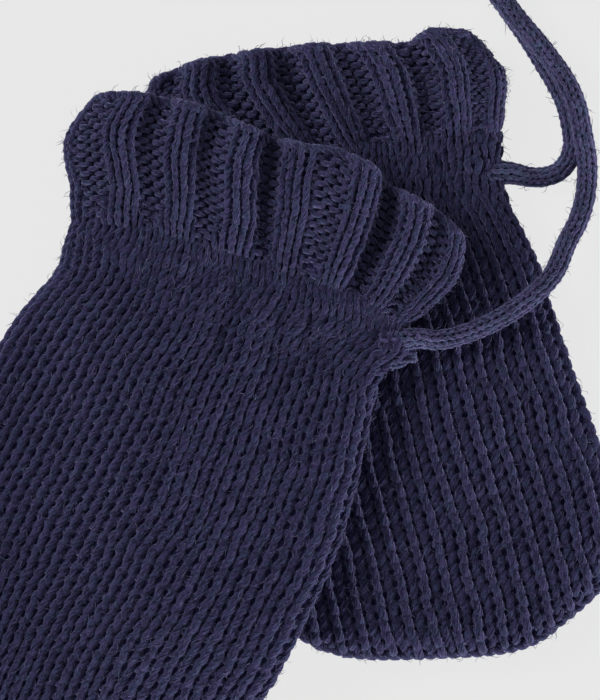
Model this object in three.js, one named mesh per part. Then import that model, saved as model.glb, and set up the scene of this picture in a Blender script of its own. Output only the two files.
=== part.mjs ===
// A pair of newborn mittens in navy yarn, knitted without thumbs, laid flat with one mitten across the
// other and joined by a knitted cord.
// Millimetres, +Z up, +X to the right and +Y away, towards the cuffs. The pair rests on Z = 0.
// A place on a mitten is given across it, to the right, and along it, from the middle of the wrist
// towards the fingertips, so that a cuff has lengths below zero.
import * as THREE from "three";

// Cloth of one mitten, laid flat
const HEIGHT = 8.0; // both walls and the hollow between them
const WALL = 2.6;
const SEAM_GAP = 0.3;
const CROWN = 0.8; // how much the middle of the hand stands up
const RIM = HEIGHT / 2; // radius of the folded sides
const HALF_GAP = SEAM_GAP / 2;

// Ribs of the cuffs
const RIB_RELIEF = 1.1;
const RIB_WIDTH_AT_EDGE = 5.6;
const RIB_WIDTH_AT_WRIST = 4.4;
const RIB_TOP_SHARE = 0.62; // the flat top of a rib, as a share of its width
const UNDER_HALF_FOLLOWS = 0.7; // how far the under half of a cuff lifts with the upper half's crests

// How the front mitten lies on the back one
const RESTING_GAP = 0.3;
const CUFF_BULK = 1.6; // what the ribbed cuff adds to the height that the front mitten lies on
const CUFF_BULK_FADES = 12; // over this length of the hand
const SLOPE_LENGTH = 34; // from the back mitten's side down to the surface

// Cord
const CORD_DIAMETER = 3.5;
const CORD_SIDES = 8;
const COIL_RADIUS = 20; // at the middle of its turns
const COIL_TURNS_ACROSS = 2;
const COIL_STEPS = 40;
const COIL_CENTRE = new THREE.Vector2(43.0, 88.8);

// Colours
const NAVY = "#28283e";

// Sections from the cuff's edge to the wrist, and from the wrist to the tip. Each row gives the left end
// across and along, the right end across and along, and how far the middle bows towards the tip.
// Folds go from left to right round the cuff: where each one is at the edge and at the wrist, how far it
// lifts the cloth at the edge, and how far it stands out past the edge. Ribs are the raised ones.
const FRONT = {
  name: "front",
  wrist: [-9.15, 10.56],
  lean: 24.8,
  cuffSections: [
    [-39.5, -18.5, 31.8, -22.8, -5.5], // edge
    [-40.9, -10.5, 33.1, -16.6, -6.0], // flare
    [-37.0, -3.5, 31.0, -9.5, -4.5], // lower rib
    [-34.2, 2.0, 28.7, -5.6, -3.0], // wrist
  ],
  handSections: [
    [-34.2, 2.0, 28.7, -5.6, -3.0], // wrist
    [-33.8, 6.0, 31.0, -1.4, -2.4], // where the cord is sewn in
    [-33.0, 11.5, 28.9, 5.6, -1.5], // gather
    [-36.3, 22.5, 31.0, 16.0, 0.0], // heel
    [-38.0, 40.0, 34.0, 33.0, 0.0], // palm
    [-38.5, 56.0, 34.4, 53.0, 0.5], // knuckles
    [-37.0, 70.0, 32.6, 67.0, 1.0], // fingers
    [-31.5, 79.5, 27.5, 78.5, 2.5], // corners
    [-21.0, 84.0, 19.0, 84.5, 2.5], // tip
  ],
  folds: [
    ["purl", -27.0, -19.4, -0.4, 0.1],
    ["rib", -32.2, -24.2, 0.5, 0.4],
    ["rib", -22.2, -14.9, 0.7, 0.5],
    ["purl", -17.0, -10.4, -0.3, 0.3],
    ["rib", -12.3, -5.9, 0.8, 0.1],
    ["fold", -7.9, -1.1, -2.5, -0.3],
    ["rib", -2.4, 3.6, 0.6, 0.5],
    ["purl", 4.4, 8.6, 2.6, 2.0],
    ["rib", 10.2, 13.2, 1.9, 1.8],
    ["fold", 14.9, 17.3, -2.4, -0.2],
    ["rib", 19.6, 21.4, 0.8, 0.1],
    ["purl", 24.8, 24.1, -0.5, 0.5],
  ],
};
const BACK = {
  name: "back",
  wrist: [5.28, 28.51],
  lean: -11.5,
  cuffSections: [
    [-28.8, -23.3, 31.5, -20.5, -3.0], // edge
    [-33.0, -18.0, 34.9, -14.0, -3.0], // flare
    [-31.0, -11.5, 34.0, -8.5, -1.5], // lower rib
    [-29.0, -6.2, 32.9, -3.9, -1.0], // wrist
  ],
  handSections: [
    [-29.0, -6.2, 32.9, -3.9, -1.0], // wrist
    [-29.8, 4.0, 31.4, 6.5, 0.0], // gather
    [-33.5, 18.0, 34.2, 20.0, 0.0], // heel
    [-36.5, 38.0, 36.2, 39.0, 0.5], // palm
    [-38.0, 54.0, 39.0, 57.0, 1.0], // knuckles
    [-37.5, 67.0, 39.6, 69.0, 2.0], // fingers
    [-32.0, 73.5, 33.5, 79.0, 4.0], // corners
    [-21.2, 77.4, 24.0, 84.8, 4.4], // tip
  ],
  folds: [
    ["purl", -22.9, -17.4, -0.6, 0.9],
    ["rib", -18.3, -11.5, 0.6, 1.1],
    ["purl", -13.3, -7.2, -0.8, 0.9],
    ["rib", -8.3, -2.6, 0.8, 0.8],
    ["purl", -3.3, 1.6, -1.2, 0.5],
    ["rib", 1.8, 6.4, 0.8, 0.3],
    ["purl", 7.0, 10.8, -0.8, -0.5],
    ["rib", 12.2, 15.4, 0.8, -1.0],
    ["fold", 17.9, 20.0, -1.8, -1.8],
    ["rib", 23.4, 24.6, 1.2, 0.6],
  ],
};

// Where the cord lies, from each wrist to the edge of the view and on to the coil
const FRONT_CORD_ROUTE = [
  [20.4, 2.1, 13.4],
  [24.6, 1.8, 12.1],
  [29.9, 3.2, 11.0],
  [35.2, 5.6, 10.7],
  [40.5, 9.2, 10.3],
  [44.6, 13.3, 8.9],
  [47.4, 19.4, 5.6],
  [49.3, 22.9, 4.3],
  [50.4, 26.4, 3.5],
  [50.9, 29.9, 3.2],
  [50.9, 33.4, 3.8],
  [50.3, 36.9, 5.0],
  [49.6, 40.5, 5.4],
  [48.7, 44.0, 5.5],
  [47.1, 47.5, 5.6],
  [44.7, 51.0, 5.6],
  [41.9, 54.6, 5.6],
  [38.9, 58.1, 5.6],
  [36.2, 61.6, 5.6],
  [33.6, 65.1, 5.6],
];
const BACK_CORD_ROUTE = [
  [38.2, 31.2, 4.0],
  [40.6, 30.7, 2.4],
  [43.3, 30.7, 1.8],
  [45.9, 31.6, 1.8],
  [47.8, 33.8, 1.8],
  [48.5, 36.8, 1.8],
  [48.0, 40.5, 1.8],
  [47.1, 44.0, 1.8],
  [45.4, 47.5, 1.8],
  [43.3, 51.0, 1.8],
  [41.1, 54.6, 1.8],
  [38.7, 58.1, 1.8],
  [36.2, 61.6, 1.8],
  [33.6, 65.1, 1.8],
];

// A smooth curve through the rows of a table, at the place t from 0 to 1 along it.
function between(rows, t) {
  const place = t * (rows.length - 1);
  const start = Math.min(Math.floor(place), rows.length - 2);
  const f = place - start;
  const row = (k) => rows[Math.min(Math.max(k, 0), rows.length - 1)];
  return row(start).map((_, column) => {
    const [before, from, to, after] = [-1, 0, 1, 2].map((k) => row(start + k)[column]);
    const bend = 2 * before - 5 * from + 4 * to - after + f * (3 * (from - to) + after - before);
    return from + 0.5 * f * (to - before + f * bend);
  });
}

const smooth = (f) => {
  const g = Math.min(Math.max(f, 0), 1);
  return g * g * (3 - 2 * g);
};

// A point of a mitten's outline or middle: across from -1, its left side, to 1, and t along the sections.
function planPoint(sections, across, t) {
  const [left, leftAlong, right, rightAlong, bow] = between(sections, t);
  const f = (across + 1) / 2;
  const along = leftAlong + f * (rightAlong - leftAlong) + bow * (1 - across ** 4);
  return new THREE.Vector2(left + f * (right - left), -along);
}

function halfWidth(sections, t) {
  const [left, leftAlong, right, rightAlong] = between(sections, t);
  return Math.hypot(right - left, rightAlong - leftAlong) / 2;
}

// The places t of evenly spaced points of the middle line, from the sections' start to their end.
const LINE_STEPS = 240;
function middleLine(sections) {
  const line = [{ t: 0, run: 0 }];
  let last = planPoint(sections, 0, 0);
  for (let i = 1; i <= LINE_STEPS; i += 1) {
    const point = planPoint(sections, 0, i / LINE_STEPS);
    line.push({ t: i / LINE_STEPS, run: line[i - 1].run + point.distanceTo(last) });
    last = point;
  }
  return line;
}

// The place t that lies a distance along the middle line, measured back from its end.
function placeBefore(line, distance) {
  const run = line[line.length - 1].run - distance;
  const next = Math.max(line.findIndex((point) => point.run >= run), 1);
  const [low, high] = [line[next - 1], line[next]];
  return low.t + ((run - low.run) / (high.run - low.run)) * (high.t - low.t);
}

// The way out of the cloth, in plan, at a side of the mitten or at its tip.
const STEP = 0.002;
function wayOut(sections, across, t, alongSide) {
  const [low, high] = alongSide
    ? [planPoint(sections, across, Math.max(t - STEP, 0)), planPoint(sections, across, Math.min(t + STEP, 1))]
    : [planPoint(sections, across - STEP, t), planPoint(sections, across + STEP, t)];
  const run = high.sub(low).normalize();
  if (!alongSide) return new THREE.Vector2(run.y, -run.x);
  return new THREE.Vector2(-run.y, run.x).multiplyScalar(across < 0 ? -1 : 1);
}

// What the folds' table says about the edge of the cuff, at a place across it.
function foldValue(folds, column, place) {
  const rows = [...folds].sort((a, b) => a[1] - b[1]);
  const next = rows.findIndex((row) => row[1] > place);
  if (next === 0) return rows[0][column];
  if (next < 0) return rows[rows.length - 1][column];
  const [low, high] = [rows[next - 1], rows[next]];
  const f = smooth((place - low[1]) / (high[1] - low[1]));
  return low[column] + f * (high[column] - low[column]);
}

// Columns of a wall, from its left side to its right. Those on a folded side have a turn, from 0 at the
// seam to a quarter turn at the top, and those between have places across at the two ends of the wall.
const SIDE_TURNS = [0, Math.PI / 6, Math.PI / 3, Math.PI / 2];
function sideColumns(side) {
  const turns = side < 0 ? SIDE_TURNS : [...SIDE_TURNS].reverse();
  return turns.map((turn) => ({ side, turn }));
}

function evenColumns(count) {
  const middle = [];
  for (let i = 1; i < count; i += 1) middle.push({ share: i / count });
  return [...sideColumns(-1), ...middle, ...sideColumns(1)];
}

function ribColumns(mitten) {
  const middle = [];
  for (const [kind, edge, wrist] of mitten.folds) {
    const places = kind === "rib" ? [-1, -RIB_TOP_SHARE, RIB_TOP_SHARE, 1] : [0];
    for (const place of places) {
      middle.push({
        edge: edge + (place * RIB_WIDTH_AT_EDGE) / 2,
        wrist: wrist + (place * RIB_WIDTH_AT_WRIST) / 2,
        relief: Math.abs(place) === RIB_TOP_SHARE ? RIB_RELIEF : 0,
      });
    }
  }
  middle.sort((a, b) => a.edge - b.edge);
  return [...sideColumns(-1), ...middle, ...sideColumns(1)];
}

function foldColumns(mitten) {
  const middle = mitten.folds.map(([, edge, wrist]) => ({ edge, wrist, relief: 0 }));
  middle.sort((a, b) => a.edge - b.edge);
  return [...sideColumns(-1), ...middle, ...sideColumns(1)];
}

// The place of a column across a section, from -1 to 1, and its turn.
function placeOf(column, sections, t) {
  const half = halfWidth(sections, t);
  if (column.side) {
    const inset = RIM * (1 - Math.cos(column.turn));
    return { across: column.side * (1 - inset / half), turn: column.turn };
  }
  if (column.share !== undefined) {
    const flat = 1 - RIM / half;
    return { across: flat * (2 * column.share - 1), turn: Math.PI / 2 };
  }
  const [left, , right] = between(sections, t);
  const x = column.edge + t * (column.wrist - column.edge);
  return { across: (2 * (x - left)) / (right - left) - 1, turn: Math.PI / 2 };
}

// The height of the back mitten under the front one, at a point of the surface.
const toRadians = THREE.MathUtils.degToRad;
const OUTLINE_STEPS = 60;
function outlineOf(mitten) {
  const turn = toRadians(-mitten.lean);
  const middle = new THREE.Vector2();
  const points = [];
  const add = (sections, across, t) =>
    points.push(planPoint(sections, across, t).rotateAround(middle, turn).add(new THREE.Vector2(...mitten.wrist)));
  for (let i = 0; i <= OUTLINE_STEPS; i += 1) add(mitten.cuffSections, -1, i / OUTLINE_STEPS);
  for (let i = 1; i <= OUTLINE_STEPS; i += 1) add(mitten.handSections, -1, i / OUTLINE_STEPS);
  for (let i = 1; i <= OUTLINE_STEPS; i += 1) add(mitten.handSections, (2 * i) / OUTLINE_STEPS - 1, 1);
  for (let i = 1; i <= OUTLINE_STEPS; i += 1) add(mitten.handSections, 1, 1 - i / OUTLINE_STEPS);
  for (let i = 1; i <= OUTLINE_STEPS; i += 1) add(mitten.cuffSections, 1, 1 - i / OUTLINE_STEPS);
  for (let i = 1; i < OUTLINE_STEPS; i += 1) add(mitten.cuffSections, 1 - (2 * i) / OUTLINE_STEPS, 0);
  return points;
}

function distanceOutside(outline, x, y) {
  let nearest = Infinity;
  let inside = false;
  outline.forEach((a, i) => {
    const b = outline[(i + 1) % outline.length];
    const [dx, dy] = [b.x - a.x, b.y - a.y];
    const f = Math.min(Math.max(((x - a.x) * dx + (y - a.y) * dy) / (dx * dx + dy * dy), 0), 1);
    nearest = Math.min(nearest, Math.hypot(x - a.x - f * dx, y - a.y - f * dy));
    if (a.y > y !== b.y > y && x < a.x + ((y - a.y) * dx) / dy) inside = !inside;
  });
  return inside ? -nearest : nearest;
}

const BACK_OUTLINE = outlineOf(BACK);
const BACK_ALONG = new THREE.Vector2(-Math.sin(toRadians(BACK.lean)), -Math.cos(toRadians(BACK.lean)));
function heightUnderFront(x, y) {
  const slope = smooth(1 - distanceOutside(BACK_OUTLINE, x, y) / SLOPE_LENGTH);
  const along = (x - BACK.wrist[0]) * BACK_ALONG.x + (y - BACK.wrist[1]) * BACK_ALONG.y;
  const cuff = CUFF_BULK * smooth(1 - along / CUFF_BULK_FADES);
  return slope * (HEIGHT + CROWN + RESTING_GAP + cuff);
}

function restHeight(mitten, x, y) {
  if (mitten !== FRONT) return 0;
  const [cos, sin] = [Math.cos(toRadians(-mitten.lean)), Math.sin(toRadians(-mitten.lean))];
  return heightUnderFront(mitten.wrist[0] + x * cos - y * sin, mitten.wrist[1] + x * sin + y * cos);
}

// A closed wall between an outer and an inner face, each a grid of points.
function wallGeometry(rowCount, columnCount, outer, inner) {
  const positions = [];
  for (const face of [outer, inner]) {
    for (let row = 0; row < rowCount; row += 1) {
      for (let column = 0; column < columnCount; column += 1) positions.push(...face(row, column));
    }
  }
  const index = [];
  const at = (face, row, column) => (face * rowCount + row) * columnCount + column;
  const quad = (a, b, c, d) => index.push(a, b, c, a, c, d);
  for (let row = 0; row + 1 < rowCount; row += 1) {
    for (let column = 0; column + 1 < columnCount; column += 1) {
      quad(at(0, row, column), at(0, row + 1, column), at(0, row + 1, column + 1), at(0, row, column + 1));
      quad(at(1, row, column), at(1, row, column + 1), at(1, row + 1, column + 1), at(1, row + 1, column));
    }
  }
  const rim = [];
  for (let column = 0; column + 1 < columnCount; column += 1) rim.push([0, column]);
  for (let row = 0; row + 1 < rowCount; row += 1) rim.push([row, columnCount - 1]);
  for (let column = columnCount - 1; column > 0; column -= 1) rim.push([rowCount - 1, column]);
  for (let row = rowCount - 1; row > 0; row -= 1) rim.push([row, 0]);
  rim.forEach(([row, column], i) => {
    const [nextRow, nextColumn] = rim[(i + 1) % rim.length];
    quad(at(0, row, column), at(0, nextRow, nextColumn), at(1, nextRow, nextColumn), at(1, row, column));
  });
  const geometry = new THREE.BufferGeometry();
  geometry.setAttribute("position", new THREE.Float32BufferAttribute(positions, 3));
  geometry.setIndex(index);
  geometry.computeVertexNormals();
  return geometry;
}

function turnedOver(geometry) {
  const index = geometry.getIndex();
  for (let i = 0; i < index.count; i += 3) {
    const second = index.getX(i + 1);
    index.setX(i + 1, index.getX(i + 2));
    index.setX(i + 2, second);
  }
  geometry.computeVertexNormals();
  return geometry;
}

// A point of the cloth. The upper half of a mitten stands on the seam's level and the under half hangs
// from it. Rise is 0 at the seam and 1 where the cloth lies flat.
function clothPoint(mitten, plan, out, rise, upper, depth, lift) {
  const level = Math.sqrt(Math.max(1 - rise * rise, 0));
  const x = plan.x - out.x * depth * level;
  const y = plan.y - out.y * depth * level;
  const sign = upper ? 1 : -1;
  const z = RIM + sign * (HALF_GAP + (RIM - HALF_GAP - depth) * rise) + lift * rise;
  return [x, y, z + restHeight(mitten, x, y)];
}

const cloth = new THREE.MeshStandardMaterial({ color: NAVY, roughness: 0.95, metalness: 0 });
const ribbedCloth = new THREE.MeshStandardMaterial({ color: NAVY, roughness: 0.95, metalness: 0 });

// One panel of a hand, closed at the sides and the tip by turning in to the seam.
const HAND_ROWS = 12;
const HAND_COLUMNS = 10;
function handPanel(mitten, upper) {
  const sections = mitten.handSections;
  const columns = evenColumns(HAND_COLUMNS);
  const line = middleLine(sections);
  const length = line[line.length - 1].run;
  const rows = [{ t: 0, turn: Math.PI / 2 }];
  for (let i = 1; i < HAND_ROWS; i += 1) {
    rows.push({ t: placeBefore(line, RIM + (length - RIM) * (1 - i / HAND_ROWS)), turn: Math.PI / 2 });
  }
  for (const turn of [...SIDE_TURNS].reverse()) {
    rows.push({ t: placeBefore(line, RIM * (1 - Math.cos(turn))), turn });
  }
  const face = (depth) => (i, j) => {
    const { t, turn: tipTurn } = rows[i];
    const { across, turn: sideTurn } = placeOf(columns[j], sections, t);
    const rise = Math.sin(tipTurn) * Math.sin(sideTurn);
    const side = wayOut(sections, across < 0 ? -1 : 1, t, true).multiplyScalar(Math.cos(sideTurn));
    const tip = wayOut(sections, across, 1, false).multiplyScalar(Math.cos(tipTurn));
    const out = side.add(tip).normalize();
    const crown = upper ? CROWN * (1 - across * across) * Math.sin(Math.PI * t) : 0;
    const plan = planPoint(sections, across, t);
    if (i === 0) plan.y -= HALF_GAP;
    return clothPoint(mitten, plan, out, rise, upper, depth, crown);
  };
  const geometry = wallGeometry(rows.length, columns.length, face(0), face(WALL));
  const mesh = new THREE.Mesh(upper ? geometry : turnedOver(geometry), cloth);
  mesh.name = `${mitten.name}_hand_${upper ? "back" : "palm"}`;
  return mesh;
}

// One half of a cuff, open at its edge and at the wrist. Its ribs and folds are greatest at the edge.
const CUFF_ROWS = [0, 0.14, 0.34, 0.56, 0.78, 1];
function cuffHalf(mitten, upper) {
  const sections = mitten.cuffSections;
  const columns = upper ? ribColumns(mitten) : foldColumns(mitten);
  const face = (depth) => (i, j) => {
    const t = CUFF_ROWS[i];
    const column = columns[j];
    const { across, turn } = placeOf(column, sections, t);
    const rise = Math.sin(turn);
    const [left, , right] = between(sections, 0);
    const edgePlace = column.side ? left + ((across + 1) / 2) * (right - left) : column.edge;
    const fold = foldValue(mitten.folds, 3, edgePlace) * (1 - t ** 3);
    const reach = foldValue(mitten.folds, 4, edgePlace) * (1 - t) ** 2;
    const plan = planPoint(sections, across, t);
    plan.y += t < 1 ? reach : HALF_GAP;
    const out = wayOut(sections, across < 0 ? -1 : 1, t, true);
    const lift = upper ? fold : UNDER_HALF_FOLLOWS * Math.max(fold, 0);
    const relief = upper && depth === 0 ? (column.relief ?? 0) : 0;
    return clothPoint(mitten, plan, out, rise, upper, depth, lift + relief);
  };
  const geometry = wallGeometry(CUFF_ROWS.length, columns.length, face(0), face(WALL));
  const mesh = new THREE.Mesh(upper ? geometry : turnedOver(geometry), ribbedCloth);
  mesh.name = `${mitten.name}_cuff_${upper ? "back" : "palm"}`;
  return mesh;
}

function makeMitten(mitten) {
  const group = new THREE.Group();
  group.add(handPanel(mitten, true), handPanel(mitten, false), cuffHalf(mitten, true), cuffHalf(mitten, false));
  group.position.set(mitten.wrist[0], mitten.wrist[1], 0);
  group.rotation.z = toRadians(-mitten.lean);
  return group;
}

// A stretch of the cord, as a plain round tube.
const CORD_STEP = 2.4 * CORD_DIAMETER;
function cordRun(name, route) {
  const curve = new THREE.CatmullRomCurve3(route.map((point) => new THREE.Vector3(...point)));
  const section = new THREE.Shape();
  for (let i = 0; i < CORD_SIDES; i += 1) {
    const turn = ((i + 0.5) / CORD_SIDES) * 2 * Math.PI;
    const [x, y] = [(CORD_DIAMETER / 2) * Math.cos(turn), (CORD_DIAMETER / 2) * Math.sin(turn)];
    if (i === 0) section.moveTo(x, y);
    else section.lineTo(x, y);
  }
  section.closePath();
  const steps = Math.ceil(curve.getLength() / CORD_STEP) * 2;
  const geometry = new THREE.ExtrudeGeometry(section, { steps, extrudePath: curve, bevelEnabled: false });
  const mesh = new THREE.Mesh(geometry, cloth);
  mesh.name = name;
  return mesh;
}

// The coil's outer shape: a ring that holds turns beside and on each other.
function cordCoil() {
  const half = (COIL_TURNS_ACROSS * CORD_DIAMETER) / 2;
  const height = COIL_TURNS_ACROSS * CORD_DIAMETER + SEAM_GAP;
  const corner = CORD_DIAMETER / 3;
  const profile = [
    [-half + corner, 0],
    [half - corner, 0],
    [half, corner],
    [half, height - corner],
    [half - corner, height],
    [-half + corner, height],
    [-half, height - corner],
    [-half, corner],
    [-half + corner, 0],
  ].map(([across, up]) => new THREE.Vector2(COIL_RADIUS + across, up));
  const mesh = new THREE.Mesh(new THREE.LatheGeometry(profile, COIL_STEPS), cloth);
  mesh.rotation.x = Math.PI / 2;
  mesh.position.set(COIL_CENTRE.x, COIL_CENTRE.y, 0);
  mesh.name = "cord_coil";
  return mesh;
}

// The pair stands with the middle of the mittens' box at the origin.
const mittens = new THREE.Group();
mittens.add(makeMitten(BACK), makeMitten(FRONT));
const middle = new THREE.Box3().setFromObject(mittens, true).getCenter(new THREE.Vector3());
const pair = new THREE.Group();
pair.add(mittens);
pair.add(cordRun("cord_front", FRONT_CORD_ROUTE));
pair.add(cordRun("cord_back", BACK_CORD_ROUTE));
pair.add(cordCoil());
pair.position.set(-middle.x, -middle.y, 0);

export default pair;
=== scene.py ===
import math
from dataclasses import dataclass

import bpy
import numpy as np
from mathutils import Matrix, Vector


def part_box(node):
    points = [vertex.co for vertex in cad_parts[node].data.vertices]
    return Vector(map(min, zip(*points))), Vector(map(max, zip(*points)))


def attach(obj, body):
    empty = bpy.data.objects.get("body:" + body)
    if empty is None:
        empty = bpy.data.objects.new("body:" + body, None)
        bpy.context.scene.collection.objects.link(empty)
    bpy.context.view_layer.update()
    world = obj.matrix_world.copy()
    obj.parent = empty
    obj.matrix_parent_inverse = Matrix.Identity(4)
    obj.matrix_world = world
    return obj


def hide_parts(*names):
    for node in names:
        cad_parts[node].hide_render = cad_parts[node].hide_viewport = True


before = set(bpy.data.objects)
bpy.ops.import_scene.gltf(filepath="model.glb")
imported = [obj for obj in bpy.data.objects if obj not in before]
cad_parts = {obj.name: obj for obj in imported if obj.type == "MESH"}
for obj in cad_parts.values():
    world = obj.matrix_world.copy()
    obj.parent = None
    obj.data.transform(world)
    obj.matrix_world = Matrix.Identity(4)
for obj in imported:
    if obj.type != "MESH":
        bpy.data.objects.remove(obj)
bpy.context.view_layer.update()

# A pair of knitted mittens, made stitch by stitch: each row is one strand of yarn that follows the cloth.
# Sizes are in millimetres, as in the part's source, until a mesh is made. A place on a mitten is given
# across it, to the right, and along it, from the middle of the wrist towards the fingertips.
MM = 0.001

# Cloth of one mitten, laid flat
HEIGHT = 8.0
RIM = HEIGHT / 2
HALF_GAP = 0.15
CROWN = 0.8
UNDER_HALF_FOLLOWS = 0.7

# How the front mitten lies on the back one
RESTING_GAP = 0.3
CUFF_BULK = 1.6
CUFF_BULK_FADES = 12
SLOPE_LENGTH = 34

# Cord
COIL_CENTRE = (43.0, 88.8)
COIL_OUTER = 21.75
COIL_INNER = 18.25
LOWER_LAYER = 1.8
UPPER_LAYER = 5.3

# Sections give the left end across and along, the right end across and along, and how far the middle bows
# towards the tip. Folds go round the cuff: the place at the edge and at the wrist, how far each one lifts
# the cloth at the edge, and how far it stands out past the edge. The first wale that is knit in the rib and
# the first with a fold count from the left. The hand's wales swerve to the left by a share of its half
# width. The shell depths are of the two faces of the thin cloth under the hand's stitches.
FRONT = {
    "name": "front",
    "wrist": (-9.15, 10.56),
    "lean": 24.8,
    "cuff": [
        (-39.5, -18.5, 31.8, -22.8, -5.5),
        (-40.9, -10.5, 33.1, -16.6, -6.0),
        (-37.0, -3.5, 31.0, -9.5, -4.5),
        (-34.2, 2.0, 28.7, -5.6, -3.0),
    ],
    "hand": [
        (-34.2, 2.0, 28.7, -5.6, -3.0),
        (-33.8, 6.0, 31.0, -1.4, -2.4),
        (-33.0, 11.5, 28.9, 5.6, -1.5),
        (-36.3, 22.5, 31.0, 16.0, 0.0),
        (-38.0, 40.0, 34.0, 33.0, 0.0),
        (-38.5, 56.0, 34.4, 53.0, 0.5),
        (-37.0, 70.0, 32.6, 67.0, 1.0),
        (-31.5, 79.5, 27.5, 78.5, 2.5),
        (-21.0, 84.0, 19.0, 84.5, 2.5),
    ],
    # the last two sections of the hand, had its corners not been rounded: the wales run straight on
    "straight": [(-36.0, 82.0, 31.6, 79.0, 1.0), (-35.6, 87.2, 31.2, 84.3, 1.0)],
    "folds": [
        (-32.2, -24.2, 1.0, 0.4),
        (-27.0, -19.4, -0.9, 0.1),
        (-22.2, -14.9, 1.2, 0.5),
        (-17.0, -10.4, -0.8, 0.3),
        (-11.6, -4.2, 1.6, 0.1),
        (-7.0, 0.6, -3.0, -0.3),
        (-2.7, 4.0, 1.0, 0.5),
        (4.4, 8.6, 2.4, 2.0),
        (10.2, 13.2, 2.4, 1.8),
        (14.9, 17.3, -3.0, -0.2),
        (19.6, 21.4, 1.4, 0.1),
        (24.8, 24.1, -1.0, 0.5),
    ],
    "first_knit_wale": 3,
    "first_fold_wale": 4,
    "cuff_wales": 29,
    "cuff_rows": 13,
    "rib_relief": 0.85,
    "hand_wales": 19,
    "hand_rows": 36,
    "hand_stitch": {"yarn": 0.192, "leg_swing": 0.150, "ridge": 0.10, "dives": 0.40},
    "shell_depths": (1.7, 2.15),
    "swerve": 0.09,
    "seed": 11,
}
BACK = {
    "name": "back",
    "wrist": (5.28, 28.51),
    "lean": -11.5,
    "cuff": [
        (-28.8, -23.3, 31.5, -20.5, -3.0),
        (-33.0, -18.0, 34.9, -14.0, -3.0),
        (-31.0, -11.5, 34.0, -8.5, -1.5),
        (-29.0, -6.2, 32.9, -3.9, -1.0),
    ],
    "hand": [
        (-29.0, -6.2, 32.9, -3.9, -1.0),
        (-29.8, 4.0, 31.4, 6.5, 0.0),
        (-33.5, 18.0, 34.2, 20.0, 0.0),
        (-36.5, 38.0, 36.2, 39.0, 0.5),
        (-38.0, 54.0, 39.0, 57.0, 1.0),
        (-37.5, 67.0, 39.6, 69.0, 2.0),
        (-32.0, 73.5, 33.5, 79.0, 4.0),
        (-21.2, 77.4, 24.0, 84.8, 4.4),
    ],
    "straight": [(-37.4, 77.25, 39.9, 79.25, 2.0), (-37.3, 82.5, 40.2, 84.5, 2.0)],
    "folds": [
        (-22.9, -17.4, -1.0, 0.9),
        (-18.3, -11.5, 1.1, 1.1),
        (-13.3, -7.2, -1.3, 0.9),
        (-8.3, -2.6, 1.4, 0.8),
        (-3.3, 1.6, -1.8, 0.5),
        (1.8, 6.4, 1.4, 0.3),
        (7.0, 10.8, -1.3, -0.5),
        (12.2, 15.4, 1.4, -1.0),
        (17.9, 20.0, -2.2, -1.8),
        (23.4, 24.6, 1.6, 0.6),
    ],
    "first_knit_wale": 0,
    "first_fold_wale": 3,
    "cuff_wales": 26,
    "cuff_rows": 12,
    "rib_relief": 1.2,
    "hand_wales": 19,
    "hand_rows": 40,
    "hand_stitch": {
        "yarn": 0.182,
        "leg_swing": 0.158,
        "leg_lean": -0.065,
        "ridge": 0.50,
        "skewed_after": 16,
        "dives": 0.75,
    },
    "shell_depths": (1.85, 2.3),
    "swerve": 0.0,
    "seed": 23,
}

# Where the cord lies, from each wrist to the edge of the view and on to the coil
FRONT_CORD_ROUTE = [
    (13.6, 1.4, 13.6),
    (17.0, 1.7, 14.0),
    (20.4, 2.1, 13.6),
    (24.6, 1.8, 12.1),
    (29.9, 3.2, 11.0),
    (35.2, 5.6, 10.7),
    (40.5, 9.2, 10.3),
    (44.6, 13.3, 8.9),
    (47.4, 19.4, 5.6),
    (49.3, 22.9, 4.3),
    (50.4, 26.4, 3.5),
    (50.9, 29.9, 3.2),
    (50.9, 33.4, 3.8),
    (50.3, 36.9, 5.0),
    (49.6, 40.5, 5.4),
    (48.7, 44.0, 5.5),
    (47.1, 47.5, 5.6),
    (44.7, 51.0, 5.6),
    (41.9, 54.6, 5.6),
    (38.9, 58.1, 5.6),
    (36.2, 61.6, 5.6),
    (33.6, 65.1, 5.6),
]
BACK_CORD_ROUTE = [
    (32.2, 31.0, 5.0),
    (35.4, 31.4, 4.8),
    (38.2, 31.2, 4.0),
    (40.6, 30.7, 2.4),
    (43.3, 30.7, 1.8),
    (45.9, 31.6, 1.8),
    (47.8, 33.8, 1.8),
    (48.5, 36.8, 1.8),
    (48.0, 40.5, 1.8),
    (47.1, 44.0, 1.8),
    (45.4, 47.5, 1.8),
    (43.3, 51.0, 1.8),
    (41.1, 54.6, 1.8),
    (38.7, 58.1, 1.8),
    (36.2, 61.6, 1.8),
    (33.6, 65.1, 1.8),
]

# The pair's place in the frame: the coil's box tells how far the source has moved it.
coil_low, coil_high = (np.array(corner, dtype=float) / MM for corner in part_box("cord_coil"))
SHIFT = np.array([*((coil_low + coil_high) / 2)[:2] - COIL_CENTRE, 0.0])

# Camera
PICTURE_LONG_SIDE = 123.2  # what the picture's long side takes in, level with the upper cloth
CAMERA_RISE = 1090.0
LEVEL_IN_FOCUS = 12.0
SENSOR = 36.0
SEEN_FROM_TO = (0.1, 10.0)  # in metres from the camera


def add_object(name, data):
    thing = bpy.data.objects.new(name, data)
    bpy.context.scene.collection.objects.link(thing)
    return thing


def add_camera():
    data = bpy.data.cameras.new("camera")
    data.sensor_width = SENSOR
    data.lens = SENSOR * CAMERA_RISE / PICTURE_LONG_SIDE
    data.clip_start, data.clip_end = SEEN_FROM_TO
    camera = add_object("camera", data)
    camera.location = (SHIFT[0] * MM, SHIFT[1] * MM, (CAMERA_RISE + LEVEL_IN_FOCUS) * MM)
    bpy.context.scene.camera = camera


add_camera()


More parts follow.
